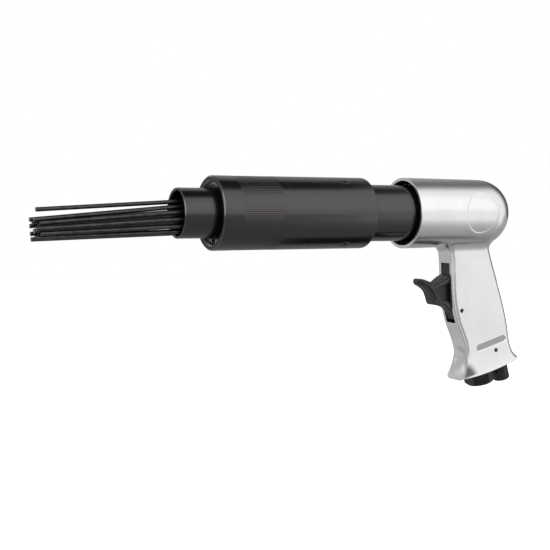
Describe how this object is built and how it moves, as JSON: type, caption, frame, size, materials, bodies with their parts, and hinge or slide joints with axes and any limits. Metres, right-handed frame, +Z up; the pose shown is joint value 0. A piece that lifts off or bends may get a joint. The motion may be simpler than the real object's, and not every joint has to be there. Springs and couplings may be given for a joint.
{
  "type": "needle scaler",
  "caption": "Pneumatic needle scaler with a pistol grip: steel needles in a sliding nose tube, a knurled sleeve, a hammer cylinder and a cast handle with trigger, air inlet and regulator.",
  "frame": {"origin": "centre of the sleeve's mouth, on the barrel axis", "axes": "+X along the barrel axis to the handle's domed end, needles point to -X; +Y to the tool's right side as the user holds it; +Z up, the grip hangs to -Z"},
  "size_m": [0.4036, 0.0554, 0.17],
  "materials": {
    "cast_aluminium": "satin cast",
    "black_steel": "satin black oxide",
    "dark_screw": "black oxide",
    "spring_steel": "oiled",
    "dark_steel": "phosphated",
    "rubber": "matte",
    "valve_steel": "ground",
    "brass": "turned",
    "black_inlet": "satin black",
    "screen_wire": "wire",
    "needle_steel": "dark drawn steel",
    "trigger_plastic": "moulded, fine grain",
    "regulator_brass": "black finish"
  },
  "bodies": {
    "handle": {"handle": "cast_aluminium", "cylinder": "black_steel", "sleeve": "black_steel", "set_screws": "dark_screw", "retaining_ring": "spring_steel", "guide_ring": "dark_steel", "return_spring": "spring_steel", "buffer_ring": "rubber", "valve_case": "valve_steel", "valve_cover": "valve_steel", "valve_dowel": "valve_steel", "trigger_pin": "dark_screw", "throttle_bushing": "brass", "throttle_spring": "spring_steel", "inlet_bushing": "black_inlet", "inlet_seal": "rubber", "inlet_screen": "screen_wire", "regulator_pin": "dark_screw"},
    "nose": {"front_tube": "black_steel", "needle_holder": "dark_steel"},
    "anvil": {"anvil": "dark_steel"},
    "piston": {"piston": "valve_steel"},
    "valve_disc": {"valve_disc": "valve_steel"},
    "trigger": {"trigger": "trigger_plastic"},
    "throttle": {"throttle_stem": "valve_steel", "throttle_seal": "rubber"},
    "regulator": {"regulator": "regulator_brass", "regulator_seal": "rubber"},
    "needle_01": {"needle_01": "needle_steel"},
    "needle_02": {"needle_02": "needle_steel"},
    "needle_03": {"needle_03": "needle_steel"},
    "needle_04": {"needle_04": "needle_steel"},
    "needle_05": {"needle_05": "needle_steel"},
    "needle_06": {"needle_06": "needle_steel"},
    "needle_07": {"needle_07": "needle_steel"},
    "needle_08": {"needle_08": "needle_steel"},
    "needle_09": {"needle_09": "needle_steel"},
    "needle_10": {"needle_10": "needle_steel"},
    "needle_11": {"needle_11": "needle_steel"},
    "needle_12": {"needle_12": "needle_steel"},
    "needle_13": {"needle_13": "needle_steel"},
    "needle_14": {"needle_14": "needle_steel"},
    "needle_15": {"needle_15": "needle_steel"},
    "needle_16": {"needle_16": "needle_steel"},
    "needle_17": {"needle_17": "needle_steel"},
    "needle_18": {"needle_18": "needle_steel"},
    "needle_19": {"needle_19": "needle_steel"}
  },
  "joints": [
    {"name": "trigger_pull", "type": "hinge", "parent": "handle", "child": "trigger", "pos_m": [0.21608, 0, -0.07857], "axis": [0, 1, 0], "range_deg": [0, 8], "stiffness_Nm_per_rad": 0.6, "springref_deg": -14.32},
    {"name": "throttle_push", "type": "slide", "parent": "handle", "child": "throttle", "axis": [0.9659, 0, 0.2588], "range_m": [0, 0.00252], "deforming": ["throttle_spring"]},
    {"name": "regulator_turn", "type": "hinge", "parent": "handle", "child": "regulator", "pos_m": [0.26099, 0, -0.12254], "axis": [0.2588, 0, -0.9659], "continuous": true},
    {"name": "nose_stroke", "type": "slide", "parent": "handle", "child": "nose", "axis": [-1, 0, 0], "range_m": [0, 0.008], "stiffness_N_per_m": 2500, "springref_m": -0.012, "deforming": ["return_spring"]},
    {"name": "anvil_stroke", "type": "slide", "parent": "handle", "child": "anvil", "axis": [-1, 0, 0], "range_m": [0, 0.006]},
    {"name": "piston_stroke", "type": "slide", "parent": "handle", "child": "piston", "axis": [-1, 0, 0], "range_m": [0, 0.04335]},
    {"name": "valve_flip", "type": "slide", "parent": "handle", "child": "valve_disc", "axis": [1, 0, 0], "range_m": [0, 0.0006]},
    {"name": "needle_01_slide", "type": "slide", "parent": "nose", "child": "needle_01", "axis": [0.9982, 0, 0.0598], "range_m": [-0.00347, 0.00253]},
    {"name": "needle_02_slide", "type": "slide", "parent": "nose", "child": "needle_02", "axis": [0.9972, 0, 0.0742], "range_m": [-0.00095, 0.00505]},
    {"name": "needle_03_slide", "type": "slide", "parent": "nose", "child": "needle_03", "axis": [0.9977, -0.0125, 0.067], "range_m": [-0.00442, 0.00158]},
    {"name": "needle_04_slide", "type": "slide", "parent": "nose", "child": "needle_04", "axis": [0.9985, -0.0126, 0.0526], "range_m": [-0.00189, 0.00411]},
    {"name": "needle_05_slide", "type": "slide", "parent": "nose", "child": "needle_05", "axis": [0.999, 0, 0.0454], "range_m": [-0.00537, 0.00063]},
    {"name": "needle_06_slide", "type": "slide", "parent": "nose", "child": "needle_06", "axis": [0.9985, 0.0126, 0.0526], "range_m": [-0.00284, 0.00316]},
    {"name": "needle_07_slide", "type": "slide", "parent": "nose", "child": "needle_07", "axis": [0.9977, 0.0125, 0.067], "range_m": [-0.00032, 0.00568]},
    {"name": "needle_08_slide", "type": "slide", "parent": "nose", "child": "needle_08", "axis": [0.9984, 0, 0.0564], "range_m": [-0.00379, 0.00221]},
    {"name": "needle_09_slide", "type": "slide", "parent": "nose", "child": "needle_09", "axis": [0.9963, -0.0145, 0.0848], "range_m": [-0.00126, 0.00474]},
    {"name": "needle_10_slide", "type": "slide", "parent": "nose", "child": "needle_10", "axis": [0.9969, -0.0251, 0.0742], "range_m": [-0.00474, 0.00126]},
    {"name": "needle_11_slide", "type": "slide", "parent": "nose", "child": "needle_11", "axis": [0.9978, -0.029, 0.0598], "range_m": [-0.00221, 0.00379]},
    {"name": "needle_12_slide", "type": "slide", "parent": "nose", "child": "needle_12", "axis": [0.9987, -0.0251, 0.0453], "range_m": [-0.00568, 0.00032]},
    {"name": "needle_13_slide", "type": "slide", "parent": "nose", "child": "needle_13", "axis": [0.9993, -0.0145, 0.0347], "range_m": [-0.00316, 0.00284]},
    {"name": "needle_14_slide", "type": "slide", "parent": "nose", "child": "needle_14", "axis": [0.9995, 0, 0.0309], "range_m": [-0.00063, 0.00537]},
    {"name": "needle_15_slide", "type": "slide", "parent": "nose", "child": "needle_15", "axis": [0.9993, 0.0145, 0.0347], "range_m": [-0.00411, 0.00189]},
    {"name": "needle_16_slide", "type": "slide", "parent": "nose", "child": "needle_16", "axis": [0.9987, 0.0251, 0.0453], "range_m": [-0.00158, 0.00442]},
    {"name": "needle_17_slide", "type": "slide", "parent": "nose", "child": "needle_17", "axis": [0.9978, 0.029, 0.0598], "range_m": [-0.00505, 0.00095]},
    {"name": "needle_18_slide", "type": "slide", "parent": "nose", "child": "needle_18", "axis": [0.9969, 0.0251, 0.0742], "range_m": [-0.00253, 0.00347]},
    {"name": "needle_19_slide", "type": "slide", "parent": "nose", "child": "needle_19", "axis": [0.9963, 0.0145, 0.0848], "range_m": [0, 0.006]}
  ],
  "couplings": [
    {"joint": "throttle_push", "follows": "trigger_pull", "m_per_rad": 0.017955}
  ]
}
